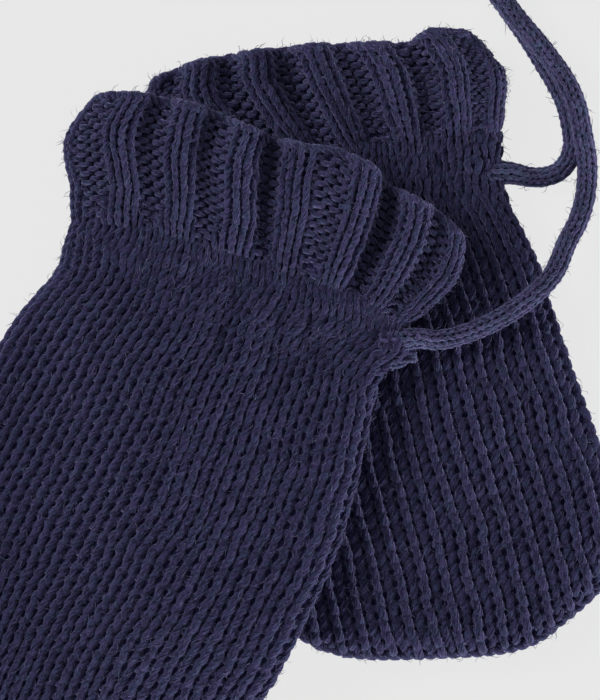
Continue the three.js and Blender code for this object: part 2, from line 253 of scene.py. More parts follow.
# Curves and outlines
def smooth(f):
    g = np.clip(f, 0.0, 1.0)
    return g * g * (3 - 2 * g)


def unit(vectors):
    return vectors / np.maximum(np.linalg.norm(vectors, axis=-1, keepdims=True), 1e-12)


def distances_along(line):
    """How far along a line each of its points lies."""
    return np.concatenate([[0], np.cumsum(np.linalg.norm(np.diff(line, axis=0), axis=1))])


def points_at(places, run, line):
    """The points of a line, or of what is known along it, at distances along it."""
    return np.stack([np.interp(places, run, line[:, k]) for k in range(line.shape[1])], axis=-1)


def between(rows, t):
    """A smooth curve through the rows at the places t from 0 to 1, and straight on past its ends."""
    rows = np.asarray(rows, dtype=float)
    t = np.asarray(t, dtype=float)
    inside = np.clip(t, 0.0, 1.0)
    place = inside * (len(rows) - 1)
    start = np.minimum(place.astype(int), len(rows) - 2)
    f = (place - start)[..., None]
    before, here, there, after = (rows[np.clip(start + k, 0, len(rows) - 1)] for k in (-1, 0, 1, 2))
    lead = 2 * before - 5 * here + 4 * there - after
    curl = 3 * (here - there) + after - before
    value = here + 0.5 * f * (there - before + f * (lead + f * curl))
    slope = 0.5 * (there - before + f * (2 * lead + 3 * f * curl)) * (len(rows) - 1)
    return value + (t - inside)[..., None] * slope


MIDDLE_STEPS = 241


def plan_point(sections, across, t):
    left, left_along, right, right_along, bow = np.moveaxis(between(sections, t), -1, 0)
    f = (across + 1) / 2
    along = left_along + f * (right_along - left_along) + bow * (1 - np.clip(across, -1, 1) ** 4)
    return np.stack([left + f * (right - left), -along], axis=-1)


def middle_line(sections):
    t = np.linspace(0, 1, MIDDLE_STEPS)
    return t, plan_point(sections, np.zeros_like(t), t)


def place_along(sections, distance):
    """The places t that lie a distance along the middle line, also a little past its ends."""
    t, line = middle_line(sections)
    run = distances_along(line)
    past = np.maximum(distance - run[-1], 0) + np.minimum(distance, 0)
    return np.interp(distance, run, t) + past / run[-1]


def middle_length(sections):
    _, line = middle_line(sections)
    return np.linalg.norm(np.diff(line, axis=0), axis=1).sum()


def edge_pieces(lines):
    """The straight pieces of outlines that keep the cloth on their left, with the way out at their ends."""
    pieces = []
    for line in lines:
        run = unit(np.diff(line, axis=0))
        out = np.stack([run[:, 1], -run[:, 0]], axis=1)
        if np.allclose(line[0], line[-1]):
            ends = np.concatenate([out[-1:] + out[:1], out[1:] + out[:-1], out[-1:] + out[:1]])
        else:
            ends = np.concatenate([out[:1], out[1:] + out[:-1], out[-1:]])
        ends = unit(ends)
        pieces.append(np.concatenate([line[:-1], line[1:], ends[:-1], ends[1:]], axis=1))
    return np.concatenate(pieces)


AT_ONCE = 4000


def distance_inside(points, pieces):
    """How far inside an outline each point lies, below zero outside it, and the way out there."""
    flat = points.reshape(-1, 2)
    starts, ends, start_out, end_out = np.split(pieces, 4, axis=1)
    run = ends - starts
    inside = np.empty(len(flat))
    way_out = np.empty_like(flat)
    for low in range(0, len(flat), AT_ONCE):
        some = flat[low:low + AT_ONCE, None]
        f = np.clip(((some - starts) * run).sum(-1) / (run * run).sum(-1), 0, 1)
        gap = some - starts - f[..., None] * run
        nearest = (gap * gap).sum(-1).argmin(1)
        each = np.arange(len(nearest))
        share = f[each, nearest][:, None]
        out = unit(start_out[nearest] * (1 - share) + end_out[nearest] * share)
        gap = gap[each, nearest]
        sign = np.where((gap * out).sum(-1) > 0, -1.0, 1.0)
        inside[low:low + AT_ONCE] = sign * np.linalg.norm(gap, axis=-1)
        way_out[low:low + AT_ONCE] = out
    return inside.reshape(points.shape[:-1]), way_out.reshape(points.shape)


OUTLINE_STEPS = 60
RUNS_PAST = 0.12


def side_line(sections, side, start, end):
    t = np.linspace(start, end, OUTLINE_STEPS)
    return plan_point(sections, np.full_like(t, side), t)


def cuff_edges(mitten):
    left = side_line(mitten["cuff"], -1, -RUNS_PAST, 1 + RUNS_PAST)
    right = side_line(mitten["cuff"], 1, 1 + RUNS_PAST, -RUNS_PAST)
    return edge_pieces([left, right])


def hand_outline(mitten, past=RUNS_PAST):
    across = np.linspace(-1, 1, OUTLINE_STEPS)
    tip = plan_point(mitten["hand"], across, np.ones_like(across))
    left = side_line(mitten["hand"], -1, -past, 1)
    right = side_line(mitten["hand"], 1, 1, -past)
    return np.concatenate([left, tip[1:], right[1:]])


def turned(mitten, plan):
    """A plan on a mitten, turned and moved to where the mitten lies."""
    angle = math.radians(-mitten["lean"])
    cos, sin = math.cos(angle), math.sin(angle)
    x, y = plan[..., 0], plan[..., 1]
    return np.stack([x * cos - y * sin, x * sin + y * cos], axis=-1) + mitten["wrist"]


def whole_outline(mitten):
    hand = hand_outline(mitten, past=0)
    across = np.linspace(1, -1, OUTLINE_STEPS)
    edge = plan_point(mitten["cuff"], across, np.zeros_like(across))
    left = side_line(mitten["cuff"], -1, 0, 1)
    right = side_line(mitten["cuff"], 1, 1, 0)
    line = np.concatenate([left, hand[1:], right[1:], edge[1:]])
    return edge_pieces([turned(mitten, line)])


def uncut(mitten):
    """The sections of a hand, had its corners not been rounded."""
    return mitten["hand"][:-2] + mitten["straight"]


BACK_OUTLINE = whole_outline(BACK)
BACK_ALONG = np.array([-math.sin(math.radians(BACK["lean"])), -math.cos(math.radians(BACK["lean"]))])


def rest_height(mitten, plan):
    """How high the back mitten lifts the front one, at points of the front one's plan."""
    if mitten is BACK:
        return np.zeros(plan.shape[:-1])
    place = turned(mitten, plan)
    inside, _ = distance_inside(place, BACK_OUTLINE)
    along = (place - BACK["wrist"]) @ BACK_ALONG
    cuff = CUFF_BULK * smooth(1 - along / CUFF_BULK_FADES)
    return smooth(1 + inside / SLOPE_LENGTH) * (HEIGHT + CROWN + RESTING_GAP + cuff)


# Cloth
MOST_TURN = math.radians(105)


def cloth_point(mitten, upper, edges, plan, depth, lift):
    """Points of the cloth at a depth under its outer face: flat, and rolled to the seam at its sides."""
    inside, out = distance_inside(plan, edges)
    beyond = np.maximum(RIM - inside, 0)
    turn = np.minimum(beyond / RIM * math.pi / 2, MOST_TURN)
    radius = RIM - depth
    plan = plan + out * (radius * np.sin(turn) - beyond)[..., None]
    rise = np.cos(turn)
    half = HALF_GAP + (RIM - HALF_GAP - depth) * rise
    z = RIM + (half if upper else -half) + lift * rise + rest_height(mitten, plan)
    place = turned(mitten, plan)
    return np.concatenate([place, z[..., None]], axis=-1) + SHIFT


# Soft hollows and swells of the upper cloth: from and to, across and along, half their width, and height
CREASES = {
    "front": [
        (-8.0, 16.0, 6.0, 62.0, 9.0, 0.7),
        (-24.0, 30.0, -14.0, 66.0, 8.0, -0.8),
        (14.0, 14.0, 22.0, 40.0, 7.0, -0.6),
        (20.0, 48.0, 6.0, 76.0, 8.0, 0.5),
        (-30.0, 12.0, -18.0, 26.0, 5.0, 0.6),
        (23.0, -1.0, 14.0, 8.0, 3.0, -1.2),
        (8.0, 4.0, 12.0, 14.0, 3.0, -0.9),
        (-2.0, 1.0, 0.0, 12.0, 2.6, -1.0),
        (-17.0, 3.0, -15.0, 12.0, 3.0, -0.7),
    ],
    "back": [
        (10.0, 10.0, 16.0, 50.0, 8.0, 0.7),
        (24.0, 18.0, 28.0, 60.0, 7.0, -0.6),
        (0.0, 30.0, 4.0, 74.0, 9.0, -0.6),
        (19.5, 1.0, 21.0, 12.0, 3.0, -1.0),
        (11.0, 1.0, 11.5, 10.0, 2.6, -0.7),
        (2.0, 1.0, 2.5, 11.0, 3.0, -0.7),
        (-22.0, 20.0, -20.0, 60.0, 8.0, 0.6),
    ],
}


def crease_lift(mitten, plan):
    lift = np.zeros(plan.shape[:-1])
    for x0, along0, x1, along1, half_width, height in CREASES[mitten["name"]]:
        start = np.array([x0, -along0])
        run = np.array([x1, -along1]) - start
        f = np.clip(((plan - start) @ run) / (run @ run), 0, 1)
        away = np.linalg.norm(plan - start - f[..., None] * run, axis=-1)
        lift += height * np.exp(-((away / half_width) ** 2))
    return lift


DRIFT_MARGIN = 4  # how many more values there are each way than the cloth needs
LAST_VALUE = 1.001  # just before the last one


def drift(rng, shape, amount, spacing=3.0):
    """An even, slow wandering over the cloth, as a function of wale and row."""
    wide, high = (int(side / spacing) + DRIFT_MARGIN for side in shape)
    grid = rng.normal(size=(high, wide)) * amount

    def value(wale, row):
        x = np.clip(wale / spacing + 1, 0, wide - LAST_VALUE)
        y = np.clip(row / spacing + 1, 0, high - LAST_VALUE)
        i, j = x.astype(int), y.astype(int)
        f, g = smooth(x - i), smooth(y - j)
        low = grid[j, i] * (1 - f) + grid[j, i + 1] * f
        high_side = grid[j + 1, i] * (1 - f) + grid[j + 1, i + 1] * f
        return low * (1 - g) + high_side * g

    return value


# Uneven knitting: soft lumps all over, and larger ones where the ribs end and the cord is sewn in
LUMP_SPACING = 2.7
LUMP_SEED = 7  # more than the mitten's own
LUMPY_AREA = (110, 140)
LUMPY_FROM = (-55, -40)
LUMPS = 0.10
WRIST_LUMPS = 0.50
WRIST_LUMPS_REACH = 5.5
LUMPY = {
    mitten["name"]: drift(np.random.default_rng(mitten["seed"] + LUMP_SEED), LUMPY_AREA, 1.0, LUMP_SPACING)
    for mitten in (FRONT, BACK)
}


def lumps(mitten, plan):
    along = -plan[..., 1]
    amount = LUMPS + WRIST_LUMPS * np.exp(-((along / WRIST_LUMPS_REACH) ** 2))
    return amount * LUMPY[mitten["name"]](plan[..., 0] - LUMPY_FROM[0], along - LUMPY_FROM[1])


RIB_FADES = 7.0  # over this length of the hand
RIBS_SOFTEN = 0.7  # towards the wrist


def fold_places(mitten, wales, column):
    """The place across the cuff of each wale's edge, at the cuff's edge or at the wrist."""
    section = mitten["cuff"][0 if column == 0 else -1]
    first = mitten["first_fold_wale"]
    knots = [0, *(first + 2 * k for k in range(len(mitten["folds"]))), mitten["cuff_wales"]]
    places = [section[0], *(fold[column] for fold in mitten["folds"]), section[2]]
    return np.interp(wales, knots, places)


def across_cuff(mitten, wales, column):
    """The same places as a share of the cuff's half width, from -1 to 1."""
    section = mitten["cuff"][0 if column == 0 else -1]
    return 2 * (fold_places(mitten, wales, column) - section[0]) / (section[2] - section[0]) - 1


def rib_wave(mitten, wales):
    """1 in the middle of a rib and -1 in the middle of the channel next to it."""
    return np.cos((wales - mitten["first_knit_wale"] - 1) * math.pi / 2)


def wale_at_wrist(mitten, x):
    """The cuff's wale that meets a place across the wrist."""
    wales = np.arange(0, mitten["cuff_wales"] + 1)
    return np.interp(x, fold_places(mitten, wales, 1), wales)


def hand_cloth(mitten, upper):
    """The hand's cloth as a function of the place across it from -1 to 1, the place t along it and depth."""
    edges = edge_pieces([hand_outline(mitten)])
    straight = uncut(mitten)

    def point(across, t, depth, cut=False):
        sections = mitten["hand"] if cut else straight
        plan = plan_point(sections, across, t)
        if not upper:
            return cloth_point(mitten, upper, edges, plan, depth, np.zeros_like(t))
        crown = CROWN * (1 - np.clip(across, -1, 1) ** 2) * np.sin(math.pi * np.clip(t, 0, 1))
        ribs = rib_wave(mitten, wale_at_wrist(mitten, plan[..., 0])) * mitten["rib_relief"]
        ribs = ribs * (1 - RIBS_SOFTEN)
        from_wrist = plan_point(sections, across, np.zeros_like(t))[..., 1] - plan[..., 1]
        ribs = ribs * np.exp(-np.maximum(from_wrist, 0) / RIB_FADES)
        lift = crown + ribs + crease_lift(mitten, plan) + lumps(mitten, plan)
        return cloth_point(mitten, upper, edges, plan, depth, lift)

    return point


def cuff_cloth(mitten, upper):
    """The cuff's cloth as a function of the wale, the place t along it and depth."""
    edges = cuff_edges(mitten)
    folds = np.array(mitten["folds"])

    def fold_value(column, place):
        k = np.clip(np.searchsorted(folds[:, 0], place), 1, len(folds) - 1)
        f = smooth((place - folds[k - 1, 0]) / (folds[k, 0] - folds[k - 1, 0]))
        return folds[k - 1, column] + f * (folds[k, column] - folds[k - 1, column])

    def point(wale, t, depth):
        inside_t = np.clip(t, 0, 1)
        if upper:
            edge_place = fold_places(mitten, wale, 0)
            at_edge, at_wrist = (across_cuff(mitten, wale, column) for column in (0, 1))
            across = at_edge + inside_t * (at_wrist - at_edge)
        else:
            left, _, right = mitten["cuff"][0][:3]
            across = 2 * wale / mitten["cuff_wales"] - 1
            edge_place = left + (across + 1) / 2 * (right - left)
        fold = fold_value(2, edge_place) * (1 - inside_t ** 3)
        reach = fold_value(3, edge_place) * (1 - inside_t) ** 2
        plan = plan_point(mitten["cuff"], across, t)
        plan[..., 1] += reach
        wave = rib_wave(mitten, wale)
        relief = mitten["rib_relief"]
        if upper:
            lift = fold + relief * (1 - inside_t ** 2 + wave * (1 - RIBS_SOFTEN * inside_t ** 2))
            lift += lumps(mitten, plan)
        else:
            lift = UNDER_HALF_FOLLOWS * np.maximum(fold, 0) + relief * (1 - UNDER_HALF_FOLLOWS * wave)
        return cloth_point(mitten, upper, edges, plan, depth, lift)

    return point


# Loose fibres: their radius and lengths, how much thinner they get, how far they lean to the side, where in
# the yarn they start, how much each half rises and wanders, and where along the yarn's finish their shade is
FIBRE = 0.06
FIBRE_SIDES = 3
FIBRE_LENGTHS = (0.9, 2.6)
FIBRE_THINS = 0.8
FIBRES_LEAN = 0.8
FIBRE_ROOT = 0.85
FIBRE_BENDS = ((0.7, 0.3), (0.25, 0.6))
FIBRE_SHADES = (0, 500)
HAND_FIBRES = 4200
CUFF_FIBRES = 2200
CORD_FIBRES = 3000


class Strands:
    """Tubes of yarn that are joined in one mesh, with a place along and round the yarn for its finish."""

    def __init__(self):
        self.points = []
        self.quads = []
        self.caps = []
        self.along = []
        self.around = []
        self.lines = []
        self.count = 0

    def add(self, line, outward, radius, sides):
        ahead = np.gradient(line, axis=0)
        side = unit(np.cross(ahead, outward))
        up = unit(np.cross(side, ahead))
        turn = 2 * math.pi * np.arange(sides) / sides
        ring = np.cos(turn)[None, :, None] * side[:, None] + np.sin(turn)[None, :, None] * up[:, None]
        thick = np.broadcast_to(radius, len(line))
        self.lines.append((line, outward, thick))
        self.points.append((line[:, None] + ring * thick[:, None, None]).reshape(-1, 3))
        here = np.arange(len(line) - 1)[:, None] * sides
        k = np.arange(sides)[None]
        after = (k + 1) % sides
        quads = np.stack([here + k, here + after, here + sides + after, here + sides + k], -1)
        self.quads.append(quads.reshape(-1, 4) + self.count)
        run = distances_along(line)
        low, high = (np.broadcast_to(ends[:, None], quads.shape[:2]) for ends in (run[:-1], run[1:]))
        self.along.append(np.stack([low, low, high, high], -1).reshape(-1))
        part = np.broadcast_to(k / sides, low.shape)
        self.around.append(np.stack([part, part + 1 / sides, part + 1 / sides, part], -1).reshape(-1))
        for start, order in ((0, -1), ((len(line) - 1) * sides, 1)):
            self.caps.append((np.arange(sides)[::order] + start + self.count).tolist())
        self.count += len(line) * sides

    def add_fibres(self, yarn, count, rng):
        """Loose hairs that start in the yarn and bend away over it, slim pointed tubes of three sides."""
        lines, outs, radii = (np.concatenate(parts) for parts in zip(*yarn.lines))
        pick = rng.integers(0, len(lines) - 1, count)
        ahead = unit(lines[pick + 1] - lines[pick]) * rng.choice((-1.0, 1.0), count)[:, None]
        side = unit(np.cross(ahead, outs[pick]))
        lean = rng.normal(size=count)[:, None] * FIBRES_LEAN
        rise = unit(outs[pick] + lean * side)
        length = rng.uniform(*FIBRE_LENGTHS, count)[:, None]
        shade = rng.uniform(*FIBRE_SHADES, count)
        line = [lines[pick] + rise * radii[pick][:, None] * FIBRE_ROOT]
        for rises, wanders in FIBRE_BENDS:
            way = unit(rise * rises + ahead + rng.normal(size=(count, 3)) * wanders)
            line.append(line[-1] + length / len(FIBRE_BENDS) * way)
        square = unit(np.cross(ahead, rise))
        turns = 2 * math.pi * np.arange(FIBRE_SIDES) / FIBRE_SIDES
        ring = np.cos(turns)[:, None] * square[:, None] + np.sin(turns)[:, None] * rise[:, None]
        root, middle, tip = (place[:, None] for place in line)
        points = np.concatenate([root + ring * FIBRE, middle + ring * FIBRE * FIBRE_THINS, tip], 1)
        points[..., 2] = np.maximum(points[..., 2], 0.0)
        self.points.append(points.reshape(-1, 3))
        each = points.shape[1]
        first = np.arange(count)[:, None] * each + self.count
        for k in range(FIBRE_SIDES):
            corners = np.array([[k, (k + 1) % FIBRE_SIDES]])
            above = corners + FIBRE_SIDES
            self.quads.append(first + np.concatenate([corners, above[:, ::-1]], 1))
            self.caps.extend((first + np.append(above, each - 1)).tolist())
            self.along.append(np.repeat(shade, 4))
            self.around.append(np.zeros(count * 4))
        self.count += each * count

    def make(self, name, material):
        quads = np.concatenate(self.quads)
        points = np.concatenate(self.points) * MM
        mesh = bpy.data.meshes.new(name)
        mesh.from_pydata(points.tolist(), [], quads.tolist() + self.caps)
        cap_loops = sum(len(cap) for cap in self.caps)
        along = np.concatenate([*self.along, np.zeros(cap_loops)])
        around = np.concatenate([*self.around, np.zeros(cap_loops)])
        layer = mesh.uv_layers.new(name="yarn")
        layer.data.foreach_set("uv", np.stack([along, around], -1).ravel())
        mesh.shade_smooth()
        return add_piece(name, mesh, material)


def add_piece(name, mesh, material):
    mesh.update()
    piece = add_object(name, mesh)
    mesh.materials.append(material)
    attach(piece, "root")
    return piece


def make_yarn(name, strands, slot, fibres, rng):
    """The stitches of a piece, and the loose fibres on them where it has any."""
    pieces = [strands.make(name, MATERIALS[slot])]
    if fibres:
        loose = Strands()
        loose.add_fibres(strands, fibres, rng)
        pieces.append(loose.make(f"{name.removesuffix('_yarn')}_fibres", MATERIALS["fibre"]))
    return pieces


def make_shell(name, grids, upper):
    """The thin cloth under a panel's stitches, between two grids of points."""
    outer, inner = grids if upper else (grid[:, ::-1] for grid in grids)
    rows, columns = outer.shape[:2]
    points = np.concatenate([outer.reshape(-1, 3), inner.reshape(-1, 3)]) * MM
    at = np.arange(rows * columns).reshape(rows, columns)
    quad = np.stack([at[:-1, :-1], at[1:, :-1], at[1:, 1:], at[:-1, 1:]], -1).reshape(-1, 4)
    faces = [quad, quad[:, ::-1] + rows * columns]
    rim = np.concatenate([at[0, :-1], at[:-1, -1], at[-1, :0:-1], at[:0:-1, 0]])
    ahead = np.roll(rim, -1)
    faces.append(np.stack([rim, ahead, ahead + rows * columns, rim + rows * columns], -1))
    mesh = bpy.data.meshes.new(name)
    mesh.from_pydata(points.tolist(), [], np.concatenate(faces).tolist())
    mesh.shade_smooth()
    shell = add_piece(f"{name}_cloth", mesh, MATERIALS["backing"])
    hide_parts(name)
    return shell


# Stitches
STEPS_A_STITCH = {True: 13, False: 9}  # on the upper cloth and the under one
YARN_SIDES = {True: 7, False: 5}
LOOP_REACH = 0.76  # how far a loop reaches up and down, in rows
PURL_DIVES = 1.4
PURL_SINKS = 0.25
PURL_YARN = 0.96
WALES_WANDER = 0.08  # slowly over the cloth, in wales
ROWS_WANDER = 0.11
WRIST_UNEVEN = 3.0  # how much more the rows wander at the wrist
WRIST_ROWS = 1.5
# From stitch to stitch: how much the loops' dive, reach, place across and yarn vary
DIVES_VARY = 0.14
REACH_VARIES = 0.045
PLACE_VARIES = 0.030
YARN_VARIES = 0.075
SLOPE_STEP = 0.04
# Just past the wrist the stitches are gathered: how many more there are, and over how many rows that fades
GATHERED = 0.36
GATHERED_ROWS = 1.7


@dataclass
class Stitch:
    """How a panel is knitted, with the sizes of a stitch in wales where nothing else is said."""

    upper: bool
    narrow: float  # width of a wale in mm from which the yarn gets thicker
    wide: float  # width of a wale in mm up to which it does
    yarn: float  # radius
    leg_swing: float  # how far a leg swings across
    leg_lean: float = 0.0  # how far the loop leans
    ridge: float = 0.0  # how far one leg stands out above the other, in radii of the yarn
    skewed_after: int = 1  # rows in which the loops come to lean like that
    dives: float = 0.85  # how far a loop dives, in radii of the yarn
    square: float = 0.0  # how square the loops are
    gathered: float = 0.0  # how many more stitches the first row has
    wrist_row: int = 0


def knit(strands, surface, stitch, wales, spans, knit_side, rng):
    """Adds rows of stitches that follow a surface, a function of wale and row that gives points."""
    rows = len(spans)
    sideways = drift(rng, (wales, rows), WALES_WANDER)
    lengthways = drift(rng, (wales, rows), ROWS_WANDER)
    wales_done, rows_done, heights, jitters = [], [], [], []
    for row, (first, last) in enumerate(spans):
        more = 1 + stitch.gathered * math.exp(-row / GATHERED_ROWS)
        skew = smooth(row / stitch.skewed_after)
        uneven = 1 + WRIST_UNEVEN * math.exp(-abs(row - stitch.wrist_row) / WRIST_ROWS)
        a = np.linspace(first, last, int((last - first) * more * STEPS_A_STITCH[stitch.upper]) + 1)
        centres = np.arange(-1, wales + 1) + 0.5
        loose = np.interp(a, centres, rng.normal(size=len(centres)))
        slack = np.interp(a, centres, rng.normal(size=len(centres)))
        side = knit_side(a, row)
        turn = 2 * math.pi * a * more
        wave = (np.cos(turn) - stitch.square * np.cos(3 * turn)) / (1 - stitch.square)
        column = a + (stitch.leg_swing * np.sin(2 * turn) - skew * stitch.leg_lean * np.cos(turn)) / more
        dives = np.where(side < 0, PURL_DIVES, stitch.dives)
        height = -np.cos(2 * turn) * side * dives * (1 + DIVES_VARY * slack)
        height -= np.where(side < 0, PURL_SINKS, 0.0)
        height -= skew * stitch.ridge * np.sin(turn)
        b = row + 0.5 - LOOP_REACH * wave * (1 + REACH_VARIES * loose)
        wales_done.append(column + sideways(a, np.full_like(a, row)) + PLACE_VARIES * loose)
        rows_done.append(b + lengthways(a, np.full_like(a, row)) * uneven)
        heights.append(height)
        jitters.append((1 + YARN_VARIES * slack) * np.where(side < 0, PURL_YARN, 1.0) / math.sqrt(more))
    ends = np.cumsum([len(a) for a in wales_done])[:-1]
    a, b = np.concatenate(wales_done), np.concatenate(rows_done)
    height, jitter = np.concatenate(heights), np.concatenate(jitters)
    step = SLOPE_STEP
    here = surface(a, b)
    across = (surface(a + step, b) - surface(a - step, b)) / (2 * step)
    along = (surface(a, b + step) - surface(a, b - step)) / (2 * step)
    out = unit(np.cross(along, across))
    if out[len(out) // 2, 2] * (1 if stitch.upper else -1) < 0:
        out = -out
    width = np.linalg.norm(across, axis=-1)
    radius = np.clip(width, stitch.narrow, stitch.wide) * stitch.yarn
    line = here + out * (height * radius)[..., None]
    for line_part, out_part, radius_part in zip(
        np.split(line, ends), np.split(out, ends), np.split(radius * jitter, ends)
    ):
        strands.add(line_part, out_part, radius_part, YARN_SIDES[stitch.upper])


HAND_WALE = {"narrow": 3.2, "wide": 4.1}
CUFF_STITCH = {"narrow": 2.5, "wide": 3.1, "yarn": 0.182, "leg_swing": 0.150, "square": 0.15}
YARN_DEPTH = 1.45  # of the middle of the stitches under the cloth's outer face
UNDER_DEPTH = 1.75
CUFF_YARN_DEPTH = 1.15
CHANNELS_CLOSE = 3.2  # over this many rows before the wrist
CHANNEL_CLOSED = 1.2  # what the rib's wave gains at the wrist, where -1 is a channel and 1 a rib
CHANNEL_SIDES = 4  # how steeply a channel turns into a rib
ROLLS_UNDER = 0.3  # of a wale, past the rim of a cuff
CORNER_CUT = 0.3  # where the rows of the rounded corners end, inside the rim
WHOLE_ROW = 1.0  # a row that ends this close to the outline isn't cut
MARKS_A_WALE = 8
HAND_SHELL_STEPS = 56
SHELL_RISES = 0.2  # towards the sides, from this share of the half width and over this much of it
SHELL_RISES_FROM = 0.76
SHELL_RISES_OVER = 0.14
CUFF_SHELL_DEPTHS = (1.75, 2.25)
CUFF_SHELL_STEPS = (3, 16)  # in a wale, and along the cuff


def hand_spans(mitten, wales, rows, t_of_row):
    """The first and last wale of each row: the rounded corners cut the rows short."""
    edges = edge_pieces([hand_outline(mitten)])
    spans = []
    marks = np.linspace(0, wales, wales * MARKS_A_WALE + 1)
    for row in range(rows):
        t = np.full(len(marks), t_of_row(row + 0.5))
        plan = plan_point(uncut(mitten), 2 * marks / wales - 1, t)
        inside, _ = distance_inside(plan, edges)
        kept = marks[inside > CORNER_CUT]
        whole = np.abs(inside[[0, -1]]) < WHOLE_ROW
        spans.append((0 if whole[0] else kept[0], wales if whole[1] else kept[-1]))
    return spans


def make_hand(mitten, upper):
    name = f"{mitten['name']}_hand_{'back' if upper else 'palm'}"
    wales, rows = mitten["hand_wales"], mitten["hand_rows"]
    straight = uncut(mitten)
    length = middle_length(straight)
    cloth = hand_cloth(mitten, upper)
    depth = YARN_DEPTH if upper else UNDER_DEPTH

    def t_of_row(row):
        return place_along(straight, np.asarray(row, dtype=float) * length / rows)

    def by_stitch(wale, row):
        """In the middle of the hand the wales swerve a little to the left."""
        across = 2 * wale / wales - 1
        across = across - mitten["swerve"] * (1 - across ** 2) * row / rows
        return cloth(across, t_of_row(row), depth)

    rng = np.random.default_rng(mitten["seed"] + (0 if upper else 1))
    strands = Strands()
    stitch = Stitch(upper, gathered=GATHERED, **HAND_WALE, **mitten["hand_stitch"])
    spans = hand_spans(mitten, wales, rows, t_of_row)
    knit(strands, by_stitch, stitch, wales, spans, lambda a, row: np.ones_like(a), rng)
    if upper:
        add_tip_rope(strands, mitten)
    pieces = make_yarn(f"{name}_yarn", strands, "plain_knit", HAND_FIBRES if upper else 0, rng)

    across = np.sin(np.linspace(-1, 1, HAND_SHELL_STEPS) * math.pi / 2)
    t = np.sin(np.linspace(0, 1, HAND_SHELL_STEPS) * math.pi / 2)
    across, t = np.meshgrid(across, t)
    rise = SHELL_RISES * smooth((np.abs(across) - SHELL_RISES_FROM) / SHELL_RISES_OVER)
    grids = [cloth(across, t, face - rise, cut=True) for face in mitten["shell_depths"]]
    return make_shell(name, grids, upper), pieces


def make_cuff(mitten, upper):
    name = f"{mitten['name']}_cuff_{'back' if upper else 'palm'}"
    wales, rows = mitten["cuff_wales"], mitten["cuff_rows"]
    length = middle_length(mitten["cuff"])
    cloth = cuff_cloth(mitten, upper)

    def by_stitch(wale, row):
        t = place_along(mitten["cuff"], np.asarray(row, dtype=float) * length / rows)
        return cloth(wale, t, CUFF_YARN_DEPTH + (YARN_DEPTH - CUFF_YARN_DEPTH) * smooth(t))

    def knit_side(a, row):
        """1 in a rib and -1 in the channel between two, which closes to a point at the wrist."""
        closing = smooth((row + CHANNELS_CLOSE - rows) / CHANNELS_CLOSE)
        return np.clip((rib_wave(mitten, a) + CHANNEL_CLOSED * closing) * CHANNEL_SIDES, -1, 1)

    rng = np.random.default_rng(mitten["seed"] + (2 if upper else 3))
    strands = Strands()
    stitch = Stitch(upper, wrist_row=rows - 1, **CUFF_STITCH)
    knit(strands, by_stitch, stitch, wales, [(-ROLLS_UNDER, wales + ROLLS_UNDER)] * rows, knit_side, rng)
    add_edge_rope(strands, by_stitch, wales)
    pieces = make_yarn(f"{name}_yarn", strands, "ribbed_knit", CUFF_FIBRES if upper else 0, rng)

    in_wale, along = CUFF_SHELL_STEPS
    wale, t = np.meshgrid(np.linspace(0, wales, wales * in_wale + 1), np.linspace(0, 1, along))
    grids = [cloth(wale, t, face) for face in CUFF_SHELL_DEPTHS]
    return make_shell(name, grids, upper), pieces


# Ropes of two strands along an edge: how far the strands lie from the rope's middle, and their radius
EDGE_ROPE = (0.38, 0.48)
EDGE_ROPE_ENDS = 0.15  # in wales from the sides
EDGE_ROPE_ROWS = (0.12, 0.9)  # of the rope's middle, and of a place inside it
TIP_ROPE = (0.36, 0.64)
TIP_ROPE_STARTS = 0.70  # along the hand
TIP_ROPE_TURN = 4.2
TIP_ROPE_END = (0.6, 8)  # how much of its thickness is left at an end, and over what length it comes back
ROPE_INSIDE = 0.9
ROPE_DEPTHS = (0.95, 2.0)  # of the rope's middle, and of a place right under it
ROPE_FILLER = 0.9
ROPE_STEPS = 10  # in a turn
ROPE_SIDES = 6


def add_rope(strands, middle, turn, out, size, fade=1.0):
    """Two strands twisted round each other."""
    ahead = unit(np.gradient(middle, axis=0))
    up = unit(np.cross(ahead, out))
    away, radius = size
    for start in (0, math.pi):
        swing = np.cos(turn + start)[:, None] * out + np.sin(turn + start)[:, None] * up
        strands.add(middle + swing * away, swing, radius * fade, ROPE_SIDES)


def add_edge_rope(strands, surface, wales):
    """The cast-on edge of a cuff."""
    a = np.linspace(EDGE_ROPE_ENDS, wales - EDGE_ROPE_ENDS, wales * ROPE_STEPS)
    middle, inside = (surface(a, np.full_like(a, row)) for row in EDGE_ROPE_ROWS)
    out = unit(middle - inside)
    add_rope(strands, middle, 2 * math.pi * a, out, EDGE_ROPE)


def add_tip_rope(strands, mitten):
    """The seam round the tip, where the wales end."""
    outline = hand_outline(mitten, past=0)
    edges = edge_pieces([outline])
    skipped = int(TIP_ROPE_STARTS * OUTLINE_STEPS)
    outline = outline[skipped:len(outline) - skipped]
    run = distances_along(outline)
    places = np.linspace(0, run[-1], int(run[-1] / TIP_ROPE_TURN * ROPE_STEPS))
    plan = points_at(places, run, outline)
    _, out = distance_inside(plan, edges)
    plan = plan - out * ROPE_INSIDE
    flat = np.zeros(len(plan))
    middle, under = (cloth_point(mitten, True, edges, plan, depth, flat) for depth in ROPE_DEPTHS)
    left, over = TIP_ROPE_END
    fade = left + (1 - left) * smooth(np.minimum(places, run[-1] - places) / over)
    out = unit(middle - under)
    add_rope(strands, middle, 2 * math.pi * places / TIP_ROPE_TURN, out, TIP_ROPE, fade)
    strands.add(under, out, ROPE_FILLER, ROPE_SIDES)


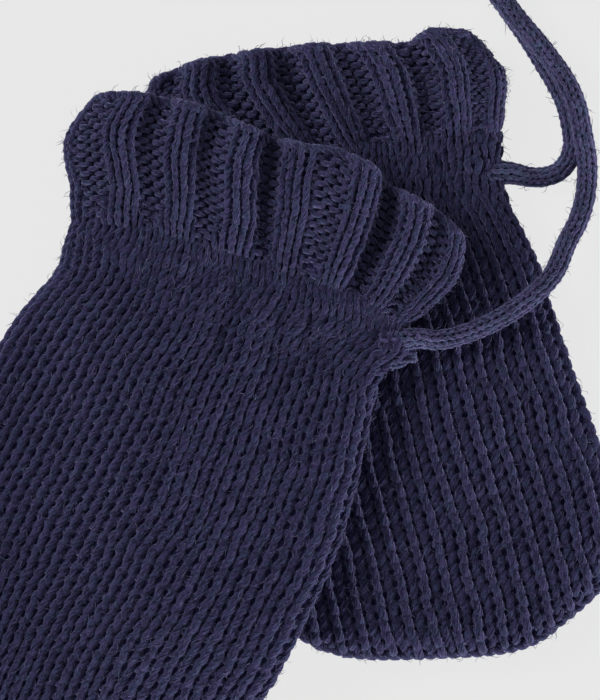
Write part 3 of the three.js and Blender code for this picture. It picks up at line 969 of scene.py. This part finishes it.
# Cord
CORD_SEED = 31
CORD_STITCHES_ROUND = 5
CORD_ROW = 1.45
CORD_MIDDLE_RADIUS = 1.36
CORD_YARN = 0.40
CORD_LOOP_DEPTH = 0.18
CORD_STEPS_A_STITCH = 7
CORD_YARN_SIDES = 5
CORD_FLARES = (0.3, 9.0)  # how much wider it is where it is sewn on, and over what length
COIL_START = math.atan2(-0.8, -0.6)  # where on the ring the cord comes in, heading along the ring's side
FULL_WINDING = math.radians(660)
LOOP_RADIUS = 7.5
CHANGE_START = math.radians(300)
CHANGE_LENGTH = math.radians(60)
COIL_STEP = math.radians(6)
COMES_DOWN_BEFORE = math.radians(5)
PATH_STEP = 0.4
FINE_STEPS = 24  # between two points of a route
KEPT_STEPS = 4  # in the core
CORD_CORE = 0.8  # its radius, in radii to the stitches' middle
# A stitch of the cord: how far its legs swing and wander round the cord, in stitches, and in rows where its
# middle is, how far it reaches up and down and how much that varies
CORD_LEG_SWING = 0.2
CORD_WANDERS = 0.05
CORD_STITCH_MIDDLE = 0.9
CORD_REACH = 0.80
CORD_REACH_VARIES = 0.11


def on_ring(travelled):
    """Plan points of the coil at angles travelled clockwise: the outer turn, then the inner one."""
    radius = COIL_OUTER - (COIL_OUTER - COIL_INNER) * smooth((travelled - CHANGE_START) / CHANGE_LENGTH)
    angle = COIL_START - travelled
    return np.stack([radius * np.cos(angle), radius * np.sin(angle)], axis=-1) + COIL_CENTRE


def arc(centre, start, end):
    angles = np.arange(start, end, math.copysign(COIL_STEP * 2, end - start))
    return np.stack([np.cos(angles), np.sin(angles)], axis=-1) * LOOP_RADIUS + centre


def at_height(plan, z):
    return np.column_stack([plan, np.broadcast_to(z, len(plan))])


def cord_path():
    """The whole cord: from the front wrist out of view, round the coil, and back to the back wrist."""
    centre_distance = COIL_INNER - LOOP_RADIUS
    apart = 2 * math.asin(LOOP_RADIUS / centre_distance)
    upper_end = COIL_START - FULL_WINDING
    lower_end = upper_end + apart
    first_centre, second_centre = (
        np.array([math.cos(angle), math.sin(angle)]) * centre_distance + COIL_CENTRE
        for angle in (upper_end, lower_end)
    )
    meet = math.atan2(*(second_centre - first_centre)[::-1])
    right_turn = (upper_end - meet) % (2 * math.pi)
    left_turn = (lower_end - meet - math.pi) % (2 * math.pi)
    winding = np.arange(0, FULL_WINDING - COIL_STEP, COIL_STEP)
    descent = apart - COMES_DOWN_BEFORE
    down = smooth((winding - FULL_WINDING + descent) / descent)
    upper = at_height(on_ring(winding), UPPER_LAYER - (UPPER_LAYER - LOWER_LAYER) * down)
    loop = np.concatenate([
        arc(first_centre, upper_end, upper_end - right_turn),
        arc(second_centre, meet + math.pi, meet + math.pi + left_turn - COIL_STEP),
    ])
    loop = at_height(loop, LOWER_LAYER)
    lower = at_height(on_ring(np.arange(FULL_WINDING - apart, 0, -COIL_STEP)), LOWER_LAYER)
    points = np.concatenate([FRONT_CORD_ROUTE, upper, loop, lower, BACK_CORD_ROUTE[::-1]]) + SHIFT
    return resampled(points, PATH_STEP)


def resampled(points, step):
    """A smooth line through points, with even steps."""
    chord = np.sqrt(np.linalg.norm(np.diff(points, axis=0), axis=1))
    knot = np.concatenate([[0], np.cumsum(chord)])
    before = np.concatenate([2 * points[:1] - points[1:2], points[:-1]])
    after = np.concatenate([points[1:], 2 * points[-1:] - points[-2:-1]])
    gap = np.diff(knot)
    gap_before = np.concatenate([gap[:1], gap])[:, None]
    gap_after = np.concatenate([gap, gap[-1:]])[:, None]
    both = (after - before) / (gap_before + gap_after)
    slope = (points - before) / gap_before - both + (after - points) / gap_after
    fine = []
    for k, span in enumerate(gap):
        f = np.linspace(0, 1, FINE_STEPS, endpoint=False)[:, None]
        fine.append(
            (1 + 2 * f) * (1 - f) ** 2 * points[k]
            + f * (1 - f) ** 2 * span * slope[k]
            + f * f * (3 - 2 * f) * points[k + 1]
            + f * f * (f - 1) * span * slope[k + 1]
        )
    fine = np.concatenate([*fine, points[-1:]])
    run = distances_along(fine)
    return points_at(np.linspace(0, run[-1], int(run[-1] / step) + 1), run, fine)


def carried_frames(line):
    """Directions square to a line that don't turn round it."""
    ahead = unit(np.gradient(line, axis=0))
    side = np.empty_like(line)
    side[0] = unit(np.cross(ahead[0], (0, 0, 1)))
    for k in range(1, len(line)):
        flat = side[k - 1] - ahead[k] * (side[k - 1] @ ahead[k])
        side[k] = flat / np.linalg.norm(flat)
    return side, np.cross(side, ahead)


SEWN_END = [(15.6, -2.6, 11.6), (17.4, -1.9, 12.2), (19.0, -1.2, 12.3), (20.3, -0.9, 11.9)]
SEWN_END_STEP = 0.35
SEWN_END_HALF = 0.5  # how far its two ropes lie from its middle
SEWN_END_FILLER = 0.75


def make_sewn_end(rng):
    """The cord's folded end, which sticks out just below it where it is sewn to the front mitten."""
    strands = Strands()
    line = resampled(np.array(SEWN_END) + SHIFT, SEWN_END_STEP)
    up = np.tile((0.0, 0.0, 1.0), (len(line), 1))
    side = unit(np.cross(np.gradient(line, axis=0), up))
    turn = np.linspace(0, 2 * math.pi, len(line))
    for way in (-SEWN_END_HALF, SEWN_END_HALF):
        add_rope(strands, line + side * way, turn + way, side, EDGE_ROPE)
    strands.add(line, side, SEWN_END_FILLER, ROPE_SIDES)
    return make_yarn("cord_sewn_end", strands, "cord_knit", 0, rng)


def make_cord():
    line = cord_path()
    run = distances_along(line)
    length = run[-1]
    side, up = carried_frames(line)
    rounds = int(length / CORD_ROW) - 1
    a = np.linspace(0, rounds * CORD_STITCHES_ROUND, rounds * CORD_STITCHES_ROUND * CORD_STEPS_A_STITCH + 1)
    wave = np.cos(2 * math.pi * a)
    rng = np.random.default_rng(CORD_SEED)
    halves = np.arange(2 * rounds * CORD_STITCHES_ROUND + 1) / 2
    loose, slack = (np.interp(a, halves, rng.normal(size=len(halves))) for _ in range(2))
    column = a + CORD_LEG_SWING * np.sin(4 * math.pi * a) + CORD_WANDERS * slack
    row = a / CORD_STITCHES_ROUND + CORD_STITCH_MIDDLE - CORD_REACH * wave + CORD_REACH_VARIES * loose
    place = np.clip(CORD_ROW * row, 0, length)
    turn = 2 * math.pi * column / CORD_STITCHES_ROUND
    middle, right, high = (points_at(place, run, known) for known in (line, side, up))
    out = unit(np.cos(turn)[:, None] * right + np.sin(turn)[:, None] * high)
    flare = 1 + CORD_FLARES[0] * smooth(1 - np.minimum(place, length - place) / CORD_FLARES[1])
    radius = flare * CORD_MIDDLE_RADIUS - CORD_LOOP_DEPTH * np.cos(4 * math.pi * a)
    strands = Strands()
    strands.add(middle + out * radius[:, None], out, flare * CORD_YARN, CORD_YARN_SIDES)
    strands.add(line[::KEPT_STEPS], up[::KEPT_STEPS], CORD_MIDDLE_RADIUS * CORD_CORE, ROPE_SIDES)
    piece, *pieces = make_yarn("cord", strands, "cord_knit", CORD_FIBRES, rng)
    pieces += make_sewn_end(rng)
    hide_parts("cord_front", "cord_back", "cord_coil")


# Finishes
def new_group(name, inputs, outputs):
    group = bpy.data.node_groups.new(name, "ShaderNodeTree")
    for label, kind, value in inputs:
        group.interface.new_socket(name=label, in_out="INPUT", socket_type=kind).default_value = value
    for label, kind in outputs:
        group.interface.new_socket(name=label, in_out="OUTPUT", socket_type=kind)
    return group, group.nodes.new("NodeGroupInput"), group.nodes.new("NodeGroupOutput")


def feed(tree, socket, value):
    """Joins a socket to another one, or sets it."""
    if isinstance(value, bpy.types.NodeSocket):
        tree.links.new(value, socket)
    else:
        socket.default_value = value


def maths(tree, operation, first, second=0.0):
    node = tree.nodes.new("ShaderNodeMath")
    node.operation = operation
    for socket, value in zip(node.inputs, (first, second)):
        feed(tree, socket, value)
    return node.outputs[0]


def colour_mix(tree, blend, share, first, second):
    node = tree.nodes.new("ShaderNodeMix")
    node.data_type = "RGBA"
    node.blend_type = blend
    for k, value in zip((0, 6, 7), (share, first, second)):
        feed(tree, node.inputs[k], value)
    return node.outputs[2]


def noise(tree, place, scale, detail):
    node = tree.nodes.new("ShaderNodeTexNoise")
    for name, value in (("Scale", scale), ("Detail", detail), ("Vector", place)):
        feed(tree, node.inputs[name], value)
    return node.outputs[0]


def spread(tree, value, low, high):
    node = tree.nodes.new("ShaderNodeMapRange")
    for name, given in (("Value", value), ("From Min", low), ("From Max", high)):
        feed(tree, node.inputs[name], given)
    return node.outputs[0]


PLY_ROUNDNESS = 0.6
FIBRES_ALONG = 0.8  # a mm of yarn
FIBRES_ROUND = 2.5
FIBRE_DETAIL = 3.0


def plied_yarn_group():
    """The height of plied yarn: the twist of its plies, and finer fibres that follow the twist. The plies
    alone also mark where painted shade goes in the grooves between them.
    """
    group, given, result = new_group(
        "plied_yarn",
        [
            ("Plies", "NodeSocketFloat", 3.0),
            ("Twists per mm", "NodeSocketFloat", 0.35),
            ("Fibres", "NodeSocketFloat", 0.5),
        ],
        [("Height", "NodeSocketFloat"), ("Groove", "NodeSocketFloat"), ("Streaks", "NodeSocketFloat")],
    )
    place = group.nodes.new("ShaderNodeUVMap")
    place.uv_map = "yarn"
    parts = group.nodes.new("ShaderNodeSeparateXYZ")
    group.links.new(place.outputs[0], parts.inputs[0])
    twist = maths(group, "MULTIPLY", parts.outputs[0], given.outputs["Twists per mm"])
    turn = maths(group, "ADD", twist, parts.outputs[1])
    plies = maths(group, "MULTIPLY", turn, given.outputs["Plies"])
    wave = maths(group, "SINE", maths(group, "MULTIPLY", plies, 2 * math.pi))
    ply = maths(group, "POWER", maths(group, "ABSOLUTE", wave), PLY_ROUNDNESS)
    angle = maths(group, "MULTIPLY", turn, 2 * math.pi)
    fibre_place = group.nodes.new("ShaderNodeCombineXYZ")
    feed(group, fibre_place.inputs[0], maths(group, "MULTIPLY", parts.outputs[0], FIBRES_ALONG))
    for k, operation in enumerate(("COSINE", "SINE"), 1):
        swing = maths(group, "MULTIPLY", maths(group, operation, angle), FIBRES_ROUND)
        feed(group, fibre_place.inputs[k], swing)
    streaks = noise(group, fibre_place.outputs[0], 1.0, FIBRE_DETAIL)
    fibres = maths(group, "MULTIPLY", streaks, given.outputs["Fibres"])
    feed(group, result.inputs["Height"], maths(group, "ADD", ply, fibres))
    feed(group, result.inputs["Groove"], ply)
    feed(group, result.inputs["Streaks"], streaks)
    return group


VIOLET_TINT = (1.16, 0.90, 1.04, 1)
TEAL_TINT = (0.84, 1.10, 0.97, 1)
MOTTLES = ((300.0, 2.0, 0.12), (2400.0, 2.0, 0.60))  # scale a metre, detail and strength
MOTTLES_FROM_TO = (0.71, 0.99)
DYE_SCALE = 650.0
DYE_FROM_TO = (0.35, 0.65)
# how much painted shade darkens the yarn's colour in the grooves between its plies
GROOVE_PAINTED_SHADE = 0.25


def heather_group():
    """The colour of the yarn: slow changes over the cloth, quick ones from fibre to fibre, and painted shade
    in the grooves between its plies.
    """
    group, given, result = new_group(
        "heather",
        [
            ("Deep", "NodeSocketColor", (0.02, 0.02, 0.05, 1)),
            ("Bright", "NodeSocketColor", (0.06, 0.06, 0.12, 1)),
            ("Groove", "NodeSocketFloat", 1.0),
            ("Streaks", "NodeSocketFloat", 0.5),
        ],
        [("Color", "NodeSocketColor")],
    )
    place = group.nodes.new("ShaderNodeTexCoord").outputs["Object"]
    amounts = [
        maths(group, "MULTIPLY", noise(group, place, scale, detail), strength)
        for scale, detail, strength in MOTTLES
    ]
    mottles = maths(group, "ADD", maths(group, "ADD", *amounts), given.outputs["Streaks"])
    # painted shade: the colour gets darker in the grooves between the plies
    painted_groove_shade = maths(group, "MULTIPLY", given.outputs["Groove"], GROOVE_PAINTED_SHADE)
    painted_groove_shade = maths(group, "ADD", painted_groove_shade, 1 - GROOVE_PAINTED_SHADE)
    share = maths(group, "MULTIPLY", spread(group, mottles, *MOTTLES_FROM_TO), painted_groove_shade)
    colour = colour_mix(group, "MIX", share, given.outputs["Deep"], given.outputs["Bright"])
    dye = spread(group, noise(group, place, DYE_SCALE, 1.0), *DYE_FROM_TO)
    tint = colour_mix(group, "MIX", dye, VIOLET_TINT, TEAL_TINT)
    feed(group, result.inputs["Color"], colour_mix(group, "MULTIPLY", 1.0, colour, tint))
    return group


PLIED_YARN = plied_yarn_group()
HEATHER = heather_group()
DEEP_NAVY = (0.0045, 0.004, 0.025, 1)
BRIGHT_NAVY = (0.056, 0.055, 0.154, 1)
# The cuffs and the cord are knitted of the hands' navy yarn: their brighter colours below are painted light,
# for the extra light on the raised ribs and on the cord.
RIB_NAVY_PAINTED_LIGHT = (0.082, 0.080, 0.210, 1)
CORD_NAVY_PAINTED_LIGHT = (0.160, 0.158, 0.345, 1)
FIBRE_NAVY = (0.20, 0.20, 0.36, 1)
INNER_DEEP = (0.018, 0.015, 0.064, 1)
INNER_BRIGHT = (0.070, 0.066, 0.180, 1)
SHEEN_TINT = (0.50, 0.49, 0.88, 1)
YARN_FINISH = {
    "Roughness": 0.9,
    "Specular_IOR_Level": 0.2,
    "Sheen_Weight": 0.75,
    "Sheen_Roughness": 0.52,
    "Sheen_Tint": SHEEN_TINT,
}
RELIEF = 0.00040
RELIEF_STRENGTH = 0.45


def place_group(tree, group, **values):
    node = tree.nodes.new("ShaderNodeGroup")
    node.node_tree = group
    for name, value in values.items():
        feed(tree, node.inputs[name.replace("_", " ")], value)
    return node


def new_material(name, **values):
    """A material, its nodes and its shader, with sockets of the shader set."""
    material = bpy.data.materials.new(name)
    material.use_nodes = True
    shader = material.node_tree.nodes["Principled BSDF"]
    for socket, value in values.items():
        shader.inputs[socket.replace("_", " ")].default_value = value
    return material, material.node_tree, shader


def yarn_material(name, twists, bright):
    material, tree, shader = new_material(name, **YARN_FINISH)
    yarn = place_group(tree, PLIED_YARN, Twists_per_mm=twists).outputs
    colour = place_group(
        tree, HEATHER, Deep=DEEP_NAVY, Bright=bright, Groove=yarn["Groove"], Streaks=yarn["Streaks"]
    )
    feed(tree, shader.inputs["Base Color"], colour.outputs["Color"])
    relief = tree.nodes.new("ShaderNodeBump")
    for socket, value in (("Strength", RELIEF_STRENGTH), ("Distance", RELIEF), ("Height", yarn["Height"])):
        feed(tree, relief.inputs[socket], value)
    feed(tree, shader.inputs["Normal"], relief.outputs[0])
    return material


def backing_material():
    """The dark inside of the cloth, seen between stitches."""
    material, tree, shader = new_material("backing", Roughness=1.0, Specular_IOR_Level=0.0)
    colour = place_group(tree, HEATHER, Deep=INNER_DEEP, Bright=INNER_BRIGHT)
    feed(tree, shader.inputs["Base Color"], colour.outputs["Color"])
    return material


def fibre_material():
    """Loose fibres, lighter than the yarn."""
    material, tree, shader = new_material("fibre", Roughness=0.8)
    streaks = place_group(tree, PLIED_YARN).outputs["Streaks"]
    colour = place_group(tree, HEATHER, Deep=BRIGHT_NAVY, Bright=FIBRE_NAVY, Streaks=streaks)
    feed(tree, shader.inputs["Base Color"], colour.outputs["Color"])
    return material


MATERIALS = {
    "fibre": fibre_material(),
    "plain_knit": yarn_material("plain_knit", twists=0.16, bright=BRIGHT_NAVY),
    # painted light: the cuffs' and the cord's yarn is the hands' navy made brighter
    "ribbed_knit": yarn_material("ribbed_knit", twists=0.20, bright=RIB_NAVY_PAINTED_LIGHT),
    "cord_knit": yarn_material("cord_knit", twists=0.24, bright=CORD_NAVY_PAINTED_LIGHT),
    "backing": backing_material(),
}

make_cord()

# The cut of each panel, laid flat
for mitten in (BACK, FRONT):
    for upper in (True, False):
        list(make_hand(mitten, upper))
        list(make_cuff(mitten, upper))


# Floor, light and background
FLOOR_COLOUR = (0.08, 0.08, 0.08, 1)
FLOOR_GLOW = 0.765
FLOOR_HALF = 3.0
FLOOR_GAP = 0.0004


def add_floor():
    mesh = bpy.data.meshes.new("floor")
    corners = [(-1, -1), (1, -1), (1, 1), (-1, 1)]
    mesh.from_pydata([(x * FLOOR_HALF, y * FLOOR_HALF, 0) for x, y in corners], [], [(0, 1, 2, 3)])
    floor = add_object("floor", mesh)
    floor.location.z = -FLOOR_GAP
    material, _, _ = new_material(
        "floor", Base_Color=FLOOR_COLOUR, Roughness=1.0, Specular_IOR_Level=0.0, Emission_Color=(1, 1, 1, 1),
        Emission_Strength=FLOOR_GLOW,
    )
    mesh.materials.append(material)


def add_softbox(name, location, size, power):
    data = bpy.data.lights.new(name, "AREA")
    data.shape = "DISK"
    data.size = size
    data.energy = power
    lamp = add_object(name, data)
    lamp.location = location
    lamp.rotation_euler = (-Vector(location)).to_track_quat("-Z", "Y").to_euler()


def add_sky(strength):
    world = bpy.data.worlds.new("studio")
    world.use_nodes = True
    world.node_tree.nodes["Background"].inputs["Color"].default_value = (1, 1, 1, 1)
    world.node_tree.nodes["Background"].inputs["Strength"].default_value = strength
    bpy.context.scene.world = world


add_floor()
add_softbox("key", (-0.92, 0.50, 0.85), size=0.75, power=8.2)
add_softbox("rim", (1.0, -1.2, 0.18), size=0.6, power=23.0)
add_sky(strength=0.18)
bpy.context.scene.view_settings.view_transform = "Standard"
